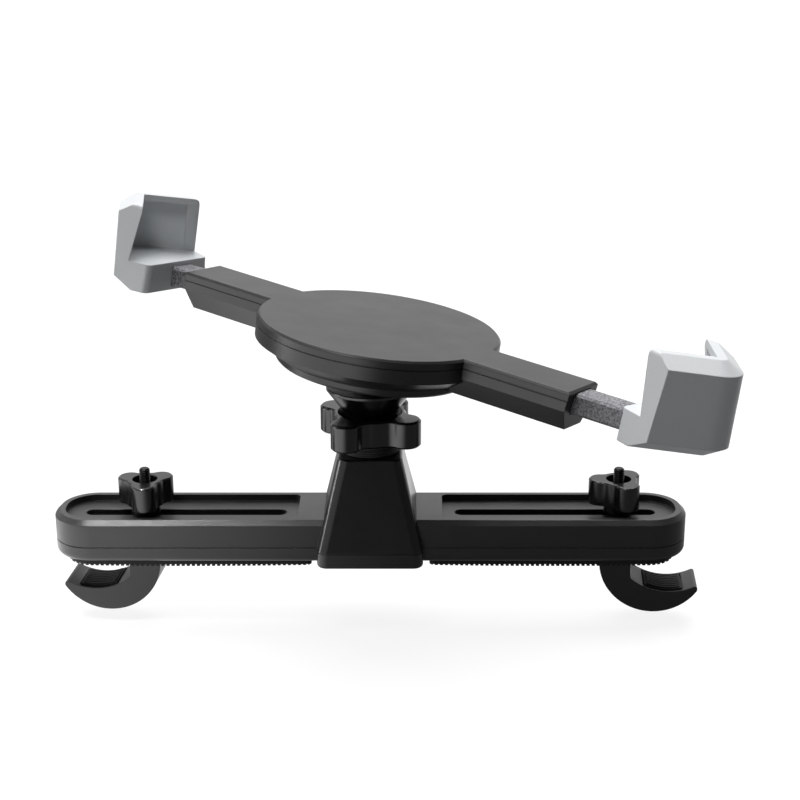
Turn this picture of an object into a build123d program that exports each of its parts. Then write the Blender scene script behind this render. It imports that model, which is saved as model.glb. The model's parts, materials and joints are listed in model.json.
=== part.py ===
from build123d import *
import math
import os

os.makedirs("parts", exist_ok=True)

# Headrest tablet mount. X runs along the bar, Y away from the viewer, Z up to the tablet.
# The origin is the middle of the flat underside of the tower's foot. Sizes are in millimetres.

# Clearances
running_gap = 0.3
fit_gap = 0.1
thread_gap = 0.15

# Bar, an upper and a lower shell that meet at a seam
bar_length = 225.4
bar_width = 30.0
bar_height = 15.6
bar_corner = 13.8
bar_bevel = 1.7
bar_bottom_round = 2.4
seam_height = 5.9
bar_wall = 2.2
seam_groove = 0.3
seam_groove_height = 0.4

# Channels in the top of the bar, each with a slot for a hook's stud
channel_depth = 2.4
channel_rim = 3.7
channel_start = 25.7
channel_corner = 2.0
channel_floor = 2.4
slot_width = 5.4
slot_start = 30.1
slot_end_inset = 10.7

# Ribbed rubber strips under the bar
strip_margin = 4.0
strip_start = 21.0
strip_seat = 1.0
strip_proud = 2.6
strip_crown = 0.4
strip_slot_width = 7.0
rib_pitch = 1.8
rib_width = 1.1
rib_depth = 0.3

# Tower moulded on the upper shell, and its foot on the lower shell
tower_base_length = 37.2
tower_base_depth = 42.0
tower_top_length = 22.6
tower_top_depth = 24.0
tower_height = 37.3
tower_corner = 3.5
tower_wall = 2.6
tower_roof = 3.0
tower_top_round = 0.8
foot_bottom_round = 1.0

# Screws that hold the shells together
shell_screw_inset = 5.6
shell_screw_radius = 1.25
shell_screw_length = 9.0
shell_screw_head_radius = 2.5
shell_screw_head_height = 1.7
shell_screw_head_depth = 2.0
shell_boss_radius = 2.7
foot_boss_radius = 3.8
tower_boss_height = 8.5

# Split socket on the tower
spigot_radius = 7.0
neck_radius = 10.0
socket_base_rise = 10.3
collar_radius = 8.8
bowl_rise = 4.6
bowl_radius = 9.6
bowl_height = 7.8
socket_rim_radius = 15.4
socket_rim_height = 1.0
slit_count = 2
slit_angle = -4.0
slit_width = 1.6
slit_depth = 12.0
socket_screw_radius = 2.0
socket_screw_length = 8.0
socket_screw_head_radius = 8.2
socket_screw_head_height = 2.6

# Lobed nut that closes the socket
nut_gap = 4.3
nut_height = 9.8
nut_hub_radius = 12.7
nut_lobe_count = 4
nut_lobe_circle_radius = 14.9
nut_lobe_radius = 5.4
nut_lobe_angle = 57.0
nut_valley = 4.0
nut_bevel = 0.7
nut_seat_depth = 3.0
nut_seat_widening = 1.2

# Ball and stem
ball_radius = 8.5
ball_rise = 4.5
ball_flat = 7.4
stem_radius = 4.4
stem_flange_radius = 9.0
stem_flange_height = 1.8
stem_spigot_radius = 5.0
stem_rise = 3.3
swivel_washer_radius = 8.0
swivel_washer_thickness = 1.0
swivel_screw_radius = 1.6
swivel_screw_head_radius = 3.4
swivel_screw_head_height = 2.0

# Tablet holder: a dish with two diagonal arms, turned and tipped on the ball
holder_tip = 7.3
holder_nod = 0.3
holder_turn = -0.9
diagonal_angle = 33.6
dish_ring_radius = 34.6
dish_ring_height = 2.5
dish_rim_radius = 42.4
dish_fold_height = 7.4
dish_back_height = 12.4
dish_edge_bevel = 0.8
cover_height = 2.9
cover_roof = 1.0
cover_bevel = 0.8
holder_wall = 2.5
arm_width = 19.6
arm_back_width = 11.0
arm_back_drop = 1.5
arm_fold_height = 8.7
arm_reach = 81.0
arm_rake = 8.5
case_screw_circle_radius = 30.0
case_screw_count = 4
case_screw_angle = 45.0
case_screw_radius = 1.2
case_screw_length = 12.4
case_screw_head_radius = 2.4
case_screw_head_height = 1.6

# Sliding bars of the arms
slide_width = 10.0
slide_height = 7.2
slide_floor = 6.8
slide_length = 79.0
slide_stop_width = 13.4
slide_stop_length = 6.0
slide_stop_reach = 63.5
slide_edge = 0.8

# Friction leaves under the bars
leaf_length = 12.0
leaf_width = 6.0
leaf_thickness = 0.4
leaf_pocket_depth = 1.7
leaf_inset = 9.5

# Corner clamps
near_clamp_reach = 134.0
far_clamp_reach = 124.0
near_clamp_turn = 0.0
far_clamp_turn = 8.0
clamp_leg = 27.3
clamp_end_run = 7.4
clamp_end_depth = 12.0
clamp_corner = 8.5
clamp_back = 5.2
clamp_height = 31.4
clamp_base = 10.5
clamp_wall = 5.0
clamp_lip = 3.7
clamp_lip_thickness = 2.4
clamp_pocket = 25.0
clamp_crown_run = 5.5
clamp_crown_height = 3.7
clamp_back_run = 6.5
clamp_back_height = 4.0
clamp_end_draft = 5.2
clamp_end_round = 2.5
clamp_tip_round = 1.4
clamp_grip = 17.4
arm_screw_radius = 1.4
arm_screw_length = 7.0
arm_screw_head_radius = 2.8
arm_screw_head_height = 0.9
arm_screw_inset = 7.0

# Hooks for the headrest posts, each on a stud through a slot
left_stud_inset = 32.2
right_stud_inset = 24.2
hook_turn = 5.0
hook_depth = 16.0
hook_top_gap = 0.4
hook_stem_outside = 6.1
hook_stem_inside = 5.1
hook_outer_radius = 19.2
hook_outer_drop = 2.4
hook_tip_angle = -33.0
hook_tip_round = 0.9
hook_inner_radius = 20.5
hook_inner_offset = 18.5
hook_inner_rise = 6.8
hook_root_round = 2.5
hook_pad_start = -113.5
hook_pad_sweep = 38.7
hook_pad_width = 13.0
hook_pad_gap = 0.4
hook_pad_seat = 1.0
hook_pad_proud = 0.5
hook_pad_rib_count = 8
hook_pad_rib_width = 0.9
hook_pad_rib_height = 0.4
hook_pad_border = 0.8

# Studs, washers, knobs and their nuts
stud_radius = 1.8
stud_top_rise = 16.9
stud_head_radius = 3.7
stud_head_height = 2.8
stud_head_drop = 8.5
stud_tip_bevel = 0.4
washer_radius = 5.2
washer_thickness = 1.0
knob_hub_radius = 6.6
knob_foot_radius = 5.0
knob_foot_height = 2.8
knob_height = 9.0
knob_lobe_count = 3
knob_lobe_circle_radius = 6.3
knob_lobe_radius = 4.3
knob_valley = 3.5
knob_bevel = 0.5
knob_bore_radius = 4.5
knob_bore_depth = 4.4
left_knob_angle = -86.0
right_knob_angle = -67.0
hex_radius = 3.5
hex_height = 3.0
hex_seat = 2.4

# Heights and planes that follow from the sizes above
channel_level = bar_height - channel_depth
slot_end = bar_length / 2 - slot_end_inset
left_stud = left_stud_inset - bar_length / 2
right_stud = bar_length / 2 - right_stud_inset
cavity_level = channel_level - channel_floor
ball_level = tower_height + socket_base_rise + bowl_rise + bowl_height + socket_rim_height - ball_rise
socket_rim_level = ball_level + ball_rise
dish_back = ball_radius + stem_rise
holder_seam = dish_back + dish_back_height
holder_top = holder_seam + cover_height
slide_bottom = dish_back + slide_floor
slide_top = slide_bottom + slide_height
arm_back = dish_back + arm_back_drop
clamp_bottom = dish_back + clamp_back
dish_fold = dish_back + dish_fold_height
arm_fold = dish_back + arm_fold_height
stop_shoulder = slide_stop_reach + running_gap
leaf_position = arm_reach - leaf_inset


def turned(plane, angle):
    """A plane turned about its own normal."""
    turn = math.radians(angle)
    return Plane(
        plane.origin, x_dir=plane.x_dir * math.cos(turn) + plane.y_dir * math.sin(turn), z_dir=plane.z_dir
    )


ball_centre = (0, 0, ball_level)
tablet_plane = turned(Plane(ball_centre).rotated((holder_nod, holder_tip, 0)), holder_turn)
holder_plane = turned(tablet_plane, -diagonal_angle)
holder_axis = Axis(ball_centre, holder_plane.z_dir)
holder_side = Plane(ball_centre, x_dir=holder_plane.x_dir, z_dir=-holder_plane.y_dir)
holder_section = Plane(ball_centre, x_dir=holder_plane.y_dir, z_dir=holder_plane.x_dir)

foot_screws = [
    (sx * (tower_base_length / 2 - shell_screw_inset), sy * (tower_base_depth / 2 - shell_screw_inset))
    for sx in (-1, 1)
    for sy in (-1, 1)
]
end_screws = [(sx * (bar_length / 2 - shell_screw_inset), 0) for sx in (-1, 1)]
slot_centres = [(side * (slot_start + slot_end) / 2, 0) for side in (-1, 1)]


def save(piece, label):
    """Name a finished piece and write it to its own file."""
    piece.part.label = label
    export_step(piece.part, f"parts/{label}.step")


def bar_end_panel(plane, side, margin, start, corner):
    """One end of the bar's outline, set in by a margin and cut square at start."""
    with BuildSketch(plane) as panel:
        RectangleRounded(bar_length - 2 * margin, bar_width - 2 * margin, bar_corner - margin)
        with Locations((side * (start - bar_length), 0)):
            Rectangle(2 * bar_length, bar_width, mode=Mode.SUBTRACT)
        inner_corners = panel.vertices().group_by(Axis.X)[0 if side > 0 else -1]
        fillet(inner_corners, corner)
    return panel.sketch


# Upper shell: the top of the bar with its two channels, and the hollow tower
with BuildPart() as upper_shell:
    with BuildSketch(Plane.XY.offset(seam_height)):
        RectangleRounded(bar_length, bar_width, bar_corner)
    extrude(amount=bar_height - seam_height)
    chamfer(upper_shell.edges().group_by(Axis.Z)[-1], bar_bevel)
    with BuildSketch(Plane.XY.offset(seam_height)):
        RectangleRounded(tower_base_length, tower_base_depth, tower_corner)
    with BuildSketch(Plane.XY.offset(tower_height)):
        RectangleRounded(tower_top_length, tower_top_depth, tower_corner)
    loft()
    fillet(upper_shell.edges().group_by(Axis.Z)[-1], tower_top_round)
    with BuildSketch(Plane.XY.offset(seam_height)):
        RectangleRounded(bar_length - 2 * bar_wall, bar_width - 2 * bar_wall, bar_corner - bar_wall)
    extrude(amount=cavity_level - seam_height, mode=Mode.SUBTRACT)
    with BuildSketch(Plane.XY.offset(seam_height)):
        RectangleRounded(
            tower_base_length - 2 * tower_wall, tower_base_depth - 2 * tower_wall, tower_corner / 2
        )
    with BuildSketch(Plane.XY.offset(tower_height - tower_roof)):
        RectangleRounded(
            tower_top_length - 2 * tower_wall, tower_top_depth - 2 * tower_wall, tower_corner / 2
        )
    loft(mode=Mode.SUBTRACT)
    for side in (-1, 1):
        panel = bar_end_panel(
            Plane.XY.offset(channel_level), side, channel_rim, channel_start, channel_corner
        )
        extrude(panel, amount=channel_depth, mode=Mode.SUBTRACT)
    with BuildSketch(Plane.XY.offset(channel_level)):
        with Locations(slot_centres):
            SlotOverall(slot_end - slot_start, slot_width)
    extrude(amount=-channel_floor, mode=Mode.SUBTRACT)
    with BuildSketch(Plane.XY.offset(seam_height)):
        with Locations(end_screws):
            Circle(shell_boss_radius)
    extrude(amount=cavity_level - seam_height)
    with BuildSketch(Plane.XY.offset(seam_height)):
        with Locations(foot_screws):
            Circle(shell_boss_radius)
    extrude(amount=tower_boss_height)
    with BuildSketch(Plane.XY.offset(seam_height)):
        with Locations(end_screws + foot_screws):
            Circle(shell_screw_radius)
    screw_reach = shell_screw_length - seam_height + shell_screw_head_depth
    extrude(amount=screw_reach, mode=Mode.SUBTRACT)
    with BuildSketch(Plane.XY.offset(tower_height)):
        RegularPolygon(spigot_radius + fit_gap, 6)
    extrude(amount=-tower_roof, mode=Mode.SUBTRACT)
save(upper_shell, "upper_shell")

# Foot of the tower, part of the lower shell
with BuildPart() as foot:
    with BuildSketch(Plane.XY):
        RectangleRounded(tower_base_length, tower_base_depth, tower_corner)
    extrude(amount=seam_height)
    fillet(foot.edges().group_by(Axis.Z)[0], foot_bottom_round)

# Lower shell: a tray under the bar that widens to the tower's foot, with a groove round its seam
with BuildPart() as lower_shell:
    with BuildSketch(Plane.XY):
        RectangleRounded(bar_length, bar_width, bar_corner)
    extrude(amount=seam_height)
    fillet(lower_shell.edges().group_by(Axis.Z)[0], bar_bottom_round)
    add(foot.part)
    with BuildSketch(Plane.XY.offset(seam_height)):
        Rectangle(bar_length + bar_wall, tower_base_depth + bar_wall)
        RectangleRounded(
            bar_length - 2 * seam_groove,
            bar_width - 2 * seam_groove,
            bar_corner - seam_groove,
            mode=Mode.SUBTRACT,
        )
        RectangleRounded(
            tower_base_length - 2 * seam_groove,
            tower_base_depth - 2 * seam_groove,
            tower_corner - seam_groove,
            mode=Mode.SUBTRACT,
        )
    extrude(amount=-seam_groove_height, mode=Mode.SUBTRACT)
    with BuildSketch(Plane.XY.offset(bar_wall)):
        RectangleRounded(bar_length - 2 * bar_wall, bar_width - 2 * bar_wall, bar_corner - bar_wall)
        RectangleRounded(
            tower_base_length - 2 * tower_wall, tower_base_depth - 2 * tower_wall, tower_corner / 2
        )
    extrude(amount=seam_height - bar_wall, mode=Mode.SUBTRACT)
    with BuildSketch(Plane.XY.offset(bar_wall)):
        with Locations(end_screws + foot_screws):
            Circle(foot_boss_radius)
    extrude(amount=seam_height - bar_wall)
    for side in (-1, 1):
        panel = bar_end_panel(Plane.XY, side, strip_margin, strip_start, channel_corner)
        extrude(panel, amount=strip_seat, mode=Mode.SUBTRACT)
    with BuildSketch(Plane.XY):
        with Locations(slot_centres):
            SlotOverall(slot_end - slot_start, slot_width)
    extrude(amount=seam_height, mode=Mode.SUBTRACT)
    with Locations(Plane.XY.rotated((180, 0, 0))):
        with Locations(end_screws + foot_screws):
            CounterBoreHole(
                shell_screw_radius + fit_gap, shell_screw_head_radius + fit_gap, shell_screw_head_depth
            )
save(lower_shell, "lower_shell")

# Ribbed rubber strips let into the underside of the bar, slightly crowned along their length
strip_end = bar_length / 2 - strip_margin
rib_count = int((strip_end - strip_start) / rib_pitch)
for side, name in ((-1, "left"), (1, "right")):
    with BuildPart() as strip:
        panel = bar_end_panel(Plane.XY.offset(strip_seat), side, strip_margin, strip_start, channel_corner)
        extrude(panel, amount=-strip_seat - strip_proud - strip_crown)
        with BuildSketch(Plane.XZ):
            with BuildLine():
                edge = Polyline(
                    (side * strip_start, -strip_proud),
                    (side * strip_start, strip_seat),
                    (side * strip_end, strip_seat),
                    (side * strip_end, -strip_proud),
                )
                middle = (side * (strip_start + strip_end) / 2, -strip_proud - strip_crown)
                ThreePointArc(edge @ 1, middle, edge @ 0)
            make_face()
        extrude(amount=bar_width, both=True, mode=Mode.INTERSECT)
        with Locations((side * (strip_start + strip_end) / 2, 0, rib_depth - strip_proud)):
            with GridLocations(rib_pitch, 1, rib_count, 1):
                Box(
                    rib_pitch - rib_width,
                    bar_width,
                    2 * (rib_depth + strip_crown),
                    align=(Align.CENTER, Align.CENTER, Align.MAX),
                    mode=Mode.SUBTRACT,
                )
        with BuildSketch(Plane.XY.offset(strip_seat)):
            with Locations((side * (slot_start + slot_end) / 2, 0)):
                SlotOverall(slot_end - slot_start + strip_slot_width - slot_width, strip_slot_width)
        extrude(amount=-2 * strip_seat - strip_proud - strip_crown, mode=Mode.SUBTRACT)
        with Locations((side * (bar_length / 2 - shell_screw_inset), 0, 0)):
            Cylinder(shell_screw_head_radius + fit_gap, bar_height, mode=Mode.SUBTRACT)
    save(strip, f"grip_strip_{name}")

# Screws from below that hold the two shells together
with BuildPart() as shell_screws:
    with BuildSketch(Plane.XY.offset(shell_screw_head_depth)):
        with Locations(end_screws + foot_screws):
            Circle(shell_screw_head_radius)
    extrude(amount=-shell_screw_head_height)
    with BuildSketch(Plane.XY.offset(shell_screw_head_depth)):
        with Locations(end_screws + foot_screws):
            Circle(shell_screw_radius)
    extrude(amount=shell_screw_length)
save(shell_screws, "shell_screws")

# Split socket: a hexagonal spigot through the tower's roof, a threaded neck and a slit bowl
with BuildPart() as socket:
    with BuildSketch(Plane.XZ):
        with BuildLine():
            neck_top = tower_height + socket_base_rise
            bowl_bottom = neck_top + bowl_rise
            rim_bottom = bowl_bottom + bowl_height
            Polyline(
                (0, tower_height),
                (neck_radius, tower_height),
                (neck_radius, neck_top),
                (collar_radius, neck_top + neck_radius - collar_radius),
                (collar_radius, bowl_bottom + collar_radius - bowl_radius),
                (bowl_radius, bowl_bottom),
                (socket_rim_radius, rim_bottom),
                (socket_rim_radius, socket_rim_level),
                (0, socket_rim_level),
                close=True,
            )
        make_face()
    revolve(axis=Axis.Z)
    rim_edges = socket.edges().filter_by(GeomType.CIRCLE).group_by(Axis.Z)[-1]
    fillet(rim_edges, socket_rim_height / 3)
    with Locations(ball_centre):
        Sphere(ball_radius + fit_gap, mode=Mode.SUBTRACT)
    with Locations((0, 0, socket_rim_level)):
        with PolarLocations(socket_rim_radius / 2, slit_count, slit_angle):
            Box(
                socket_rim_radius + ball_radius,
                slit_width,
                slit_depth,
                align=(Align.MIN, Align.CENTER, Align.MAX),
                mode=Mode.SUBTRACT,
            )
    with BuildSketch(Plane.XY.offset(tower_height)):
        RegularPolygon(spigot_radius, 6)
    extrude(amount=fit_gap - tower_roof)
    with BuildSketch(Plane.XY.offset(tower_height - tower_roof)):
        Circle(socket_screw_radius)
    extrude(amount=socket_screw_length, mode=Mode.SUBTRACT)
save(socket, "socket")

# Flange screw that holds the socket from inside the tower
with BuildPart() as socket_screw:
    with BuildSketch(Plane.XY.offset(tower_height - tower_roof)):
        Circle(socket_screw_head_radius)
    extrude(amount=-socket_screw_head_height)
    fillet(socket_screw.edges().group_by(Axis.Z)[0], socket_screw_head_height / 2)
    with BuildSketch(Plane.XY.offset(tower_height - tower_roof)):
        Circle(socket_screw_radius)
    extrude(amount=socket_screw_length)
save(socket_screw, "socket_screw")

# Lobed clamp nut on the neck
with BuildPart() as clamp_nut:
    with BuildSketch(Plane.XY.offset(tower_height + nut_gap)) as lobes:
        Circle(nut_hub_radius)
        with PolarLocations(nut_lobe_circle_radius, nut_lobe_count, nut_lobe_angle):
            Circle(nut_lobe_radius)
        fillet(lobes.vertices(), nut_valley)
    extrude(amount=nut_height)
    chamfer(clamp_nut.edges().group_by(Axis.Z)[0], nut_bevel)
    chamfer(clamp_nut.edges().group_by(Axis.Z)[-1], nut_bevel)
    with BuildSketch(Plane.XZ):
        with BuildLine():
            bore_radius = neck_radius + running_gap
            nut_bottom = tower_height + nut_gap
            Polyline(
                (0, nut_bottom),
                (bore_radius, nut_bottom),
                (bore_radius, nut_bottom + nut_height - nut_seat_depth),
                (bore_radius + nut_seat_widening, nut_bottom + nut_height),
                (0, nut_bottom + nut_height),
                close=True,
            )
        make_face()
    revolve(axis=Axis.Z, mode=Mode.SUBTRACT)
save(clamp_nut, "clamp_nut")

# Pivot ball in the socket, with a flat underneath
with BuildPart() as pivot_ball:
    with Locations(ball_centre):
        Sphere(ball_radius)
    split(bisect_by=Plane.XY.offset(ball_level - ball_flat), keep=Keep.TOP)
save(pivot_ball, "pivot_ball")

# Stem that seats on the ball and carries the dish on its flange and spigot
with BuildPart() as ball_stem:
    with BuildSketch(holder_side):
        with BuildLine():
            Polyline(
                (0, 0),
                (stem_radius, 0),
                (stem_radius, dish_back - fit_gap - stem_flange_height),
                (stem_flange_radius, dish_back - fit_gap - stem_flange_height / 2),
                (stem_flange_radius, dish_back - fit_gap),
                (stem_spigot_radius, dish_back - fit_gap),
                (stem_spigot_radius, dish_back + holder_wall + fit_gap),
                (0, dish_back + holder_wall + fit_gap),
                close=True,
            )
        make_face()
    revolve(axis=holder_axis)
    with Locations(ball_centre):
        Sphere(ball_radius + thread_gap, mode=Mode.SUBTRACT)
    with BuildSketch(holder_plane.offset(dish_back + holder_wall + fit_gap)):
        Circle(swivel_screw_radius)
    extrude(
        amount=-(dish_back + holder_wall - ball_radius), mode=Mode.SUBTRACT
    )
save(ball_stem, "ball_stem")

# Washer and screw that keep the dish on the stem and let it swivel
washer_seat = dish_back + holder_wall + fit_gap
with BuildPart() as swivel_washer:
    with BuildSketch(holder_plane.offset(washer_seat)):
        Circle(swivel_washer_radius)
        Circle(swivel_screw_radius + fit_gap, mode=Mode.SUBTRACT)
    extrude(amount=swivel_washer_thickness)
save(swivel_washer, "swivel_washer")

with BuildPart() as swivel_screw:
    with BuildSketch(holder_plane.offset(washer_seat + swivel_washer_thickness)):
        Circle(swivel_screw_head_radius)
    extrude(amount=swivel_screw_head_height)
    fillet(swivel_screw.edges().group_by(holder_axis, tol_digits=3)[-1], swivel_screw_head_height / 2)
    with BuildSketch(holder_plane.offset(washer_seat + swivel_washer_thickness)):
        Circle(swivel_screw_radius)
    extrude(amount=-(washer_seat + swivel_washer_thickness - ball_radius - stem_rise / 2))
save(swivel_screw, "swivel_screw")


def raked_end(sign):
    """Plane of an arm's slanted open end, facing outwards, leaning back below."""
    outward = holder_plane.x_dir * sign
    lean = math.radians(arm_rake)
    facing = outward * math.cos(lean) - holder_plane.z_dir * math.sin(lean)
    foot = holder_plane.origin + outward * arm_reach + holder_plane.z_dir * holder_top
    return Plane(foot, x_dir=holder_plane.y_dir, z_dir=facing)


def arm_bore(plane, height, inside_width, outside_width):
    """Cut the sliding bars' way through both arms: wide for the stops, then narrow at the mouths."""
    with BuildSketch(plane) as way:
        Rectangle(2 * stop_shoulder, inside_width)
        Rectangle(2 * (arm_reach + arm_width), outside_width)
    return extrude(way.sketch, amount=height, mode=Mode.PRIVATE)


def drafted_end(plane, foot, facing):
    """Plane through a foot point of a sketch, facing outwards and leaning back with height."""
    lean = math.radians(clamp_end_draft)
    outward = (plane.x_dir * facing[0] + plane.y_dir * facing[1]).normalized()
    return Plane(plane.from_local_coords(foot), z_dir=outward * math.cos(lean) + plane.z_dir * math.sin(lean))


slide_way = slide_width + 2 * running_gap
stop_way = slide_stop_width + 2 * running_gap

# Back of the holder: a round dish with a stepped, flared rim and the lower half of both arms
with BuildPart() as holder_back:
    with BuildSketch(holder_side):
        with BuildLine():
            Polyline(
                (0, dish_back),
                (dish_ring_radius - dish_edge_bevel, dish_back),
                (dish_ring_radius, dish_back + dish_edge_bevel),
                (dish_ring_radius, dish_back + dish_ring_height),
                (dish_rim_radius, dish_fold),
                (dish_rim_radius, holder_seam),
                (0, holder_seam),
                close=True,
            )
        make_face()
    revolve(axis=holder_axis)
    with BuildSketch(holder_section):
        with BuildLine():
            Polyline(
                (-arm_back_width / 2, arm_back),
                (arm_back_width / 2, arm_back),
                (arm_width / 2, arm_fold),
                (arm_width / 2, holder_seam),
                (-arm_width / 2, holder_seam),
                (-arm_width / 2, arm_fold),
                close=True,
            )
        make_face()
    extrude(amount=arm_reach + arm_width, both=True)
    for sign in (-1, 1):
        split(bisect_by=raked_end(sign), keep=Keep.BOTTOM)
    with BuildSketch(holder_plane.offset(dish_back + holder_wall)):
        Circle(dish_ring_radius - holder_wall)
    extrude(amount=dish_back_height - holder_wall, mode=Mode.SUBTRACT)
    add(
        arm_bore(
            holder_plane.offset(slide_bottom - running_gap),
            holder_seam - slide_bottom + running_gap,
            stop_way,
            slide_way,
        ),
        mode=Mode.SUBTRACT,
    )
    with BuildSketch(holder_plane.offset(slide_bottom - running_gap)):
        with Locations((-leaf_position, 0), (leaf_position, 0)):
            Rectangle(leaf_length + 2 * running_gap, leaf_width + 2 * running_gap)
    extrude(amount=-leaf_pocket_depth, mode=Mode.SUBTRACT)
    with BuildSketch(holder_plane.offset(dish_back)):
        Circle(stem_spigot_radius + fit_gap)
    extrude(amount=holder_wall, mode=Mode.SUBTRACT)
    with BuildSketch(holder_plane.offset(dish_back + holder_wall)):
        with PolarLocations(case_screw_circle_radius, case_screw_count, case_screw_angle):
            Circle(case_screw_head_radius + holder_wall / 2)
    extrude(amount=dish_back_height - holder_wall)
    with BuildSketch(holder_plane.offset(dish_back)):
        with PolarLocations(case_screw_circle_radius, case_screw_count, case_screw_angle):
            Circle(case_screw_radius + fit_gap)
    extrude(amount=dish_back_height, mode=Mode.SUBTRACT)
    with BuildSketch(holder_plane.offset(dish_back)):
        with PolarLocations(case_screw_circle_radius, case_screw_count, case_screw_angle):
            Circle(case_screw_head_radius + fit_gap)
    extrude(amount=case_screw_head_height, mode=Mode.SUBTRACT)
    with BuildSketch(holder_plane.offset(holder_seam)):
        Circle(arm_reach + arm_width)
        Circle(dish_rim_radius - seam_groove, mode=Mode.SUBTRACT)
        Rectangle(2 * (arm_reach + arm_width), arm_width - 2 * seam_groove, mode=Mode.SUBTRACT)
    extrude(amount=-seam_groove_height, mode=Mode.SUBTRACT)
save(holder_back, "holder_back")

# Front cover of the holder: a shallow lid over the dish and the arms
with BuildPart() as holder_front:
    with BuildSketch(holder_plane.offset(holder_seam)):
        Circle(dish_rim_radius)
        Rectangle(2 * (arm_reach + arm_width), arm_width)
    extrude(amount=cover_height)
    for sign in (-1, 1):
        split(bisect_by=raked_end(sign), keep=Keep.BOTTOM)
    chamfer(holder_front.edges().group_by(holder_axis, tol_digits=3)[-1], cover_bevel)
    with BuildSketch(holder_plane.offset(holder_seam)):
        Circle(dish_rim_radius - holder_wall)
    extrude(amount=cover_height - cover_roof, mode=Mode.SUBTRACT)
    add(
        arm_bore(
            holder_plane.offset(holder_seam), slide_top + running_gap - holder_seam, stop_way, slide_way
        ),
        mode=Mode.SUBTRACT,
    )
    with BuildSketch(holder_plane.offset(holder_seam)):
        with PolarLocations(case_screw_circle_radius, case_screw_count, case_screw_angle):
            Circle(case_screw_head_radius)
            Circle(case_screw_radius, mode=Mode.SUBTRACT)
    extrude(amount=cover_height - cover_roof)
save(holder_front, "holder_front")

# Screws from the back of the dish into the cover
with BuildPart() as case_screws:
    with BuildSketch(holder_plane.offset(dish_back + case_screw_head_height)):
        with PolarLocations(case_screw_circle_radius, case_screw_count, case_screw_angle):
            Circle(case_screw_head_radius)
    extrude(amount=fit_gap - case_screw_head_height)
    with BuildSketch(holder_plane.offset(dish_back + case_screw_head_height)):
        with PolarLocations(case_screw_circle_radius, case_screw_count, case_screw_angle):
            Circle(case_screw_radius)
    extrude(amount=case_screw_length)
save(case_screws, "case_screws")

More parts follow.
